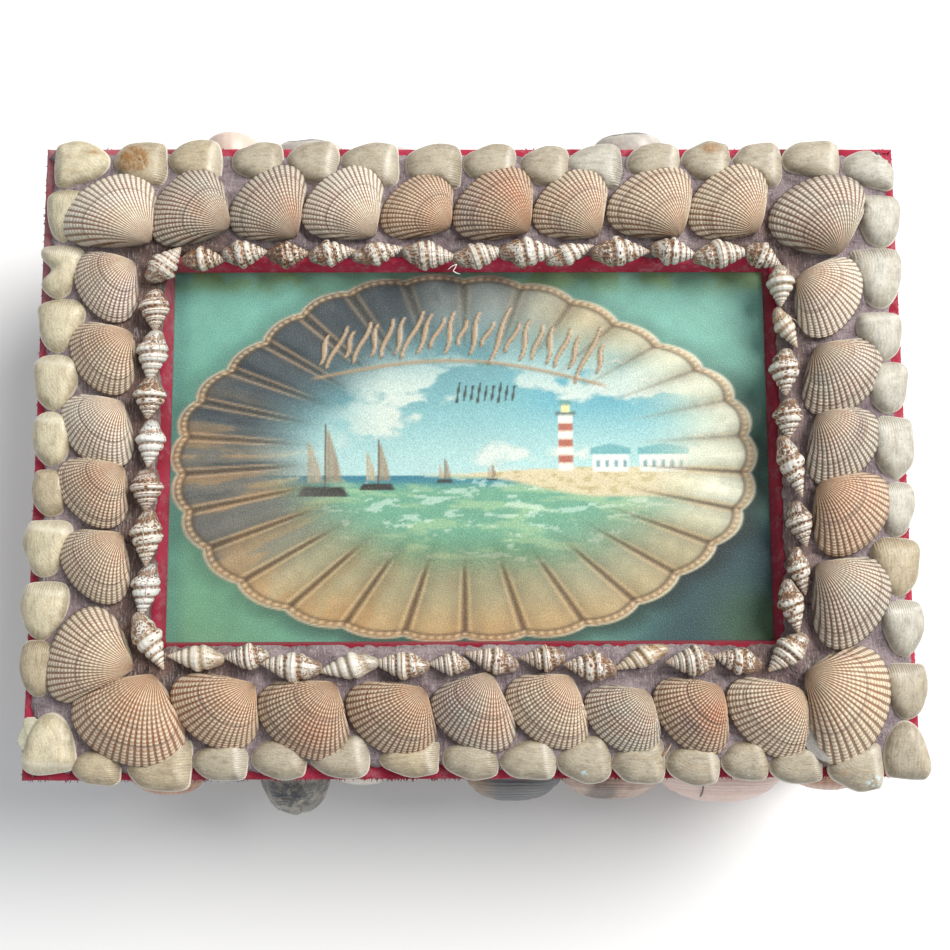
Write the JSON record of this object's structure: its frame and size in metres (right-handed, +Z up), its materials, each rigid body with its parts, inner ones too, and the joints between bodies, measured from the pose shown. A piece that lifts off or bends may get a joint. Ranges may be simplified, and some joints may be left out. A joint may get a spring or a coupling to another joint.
{
  "type": "shell box",
  "caption": "Rectangular trinket box with a lift-off lid; sea shells in putty frame a recessed embossed card on the lid and cover the four walls.",
  "frame": {"origin": "centre of the tray's underside", "axes": "+X along the long side, +Z up through the lid, -Y towards the front"},
  "size_m": [0.2048, 0.157, 0.0708],
  "materials": {
    "red_paper": "matt, worn and scuffed",
    "picture_card": "embossed, satin",
    "putty": "rough, dull",
    "ark_shell": "ribbed, satin",
    "wedge_shell": "smooth, slightly glossy",
    "snail": "spotted, slightly glossy",
    "wall_shell": "worn, satin"
  },
  "bodies": {
    "root": {"ark_shell_back_01": "ark_shell", "ark_shell_back_02": "ark_shell", "ark_shell_back_03": "ark_shell", "ark_shell_back_04": "ark_shell", "ark_shell_back_05": "ark_shell", "ark_shell_back_06": "ark_shell", "ark_shell_back_07": "ark_shell", "ark_shell_back_08": "ark_shell", "ark_shell_back_09": "ark_shell", "ark_shell_back_10": "ark_shell", "ark_shell_front_01": "ark_shell", "ark_shell_front_02": "ark_shell", "ark_shell_front_03": "ark_shell", "ark_shell_front_04": "ark_shell", "ark_shell_front_05": "ark_shell", "ark_shell_front_06": "ark_shell", "ark_shell_front_07": "ark_shell", "ark_shell_front_08": "ark_shell", "ark_shell_front_09": "ark_shell", "ark_shell_front_10": "ark_shell", "ark_shell_left_01": "ark_shell", "ark_shell_left_02": "ark_shell", "ark_shell_left_03": "ark_shell", "ark_shell_left_04": "ark_shell", "ark_shell_left_05": "ark_shell", "ark_shell_left_06": "ark_shell", "ark_shell_right_01": "ark_shell", "ark_shell_right_02": "ark_shell", "ark_shell_right_03": "ark_shell", "ark_shell_right_04": "ark_shell", "ark_shell_right_05": "ark_shell", "lid_board": "red_paper", "lid_putty": "putty", "picture_card": "picture_card", "snails_back": "snail", "snails_front": "snail", "snails_left": "snail", "snails_right": "snail", "tray": "red_paper", "wall_putty_back": "putty", "wall_putty_front": "putty", "wall_putty_left": "putty", "wall_putty_right": "putty", "wall_shells_lower_back": "wall_shell", "wall_shells_lower_front": "wall_shell", "wall_shells_lower_left": "wall_shell", "wall_shells_lower_right": "wall_shell", "wall_shells_upper_back": "wall_shell", "wall_shells_upper_front": "wall_shell", "wall_shells_upper_left": "wall_shell", "wall_shells_upper_right": "wall_shell", "wedge_shells_back": "wedge_shell", "wedge_shells_front": "wedge_shell", "wedge_shells_left": "wedge_shell", "wedge_shells_right": "wedge_shell", "window_frame": "red_paper"}
  },
  "joints": []
}
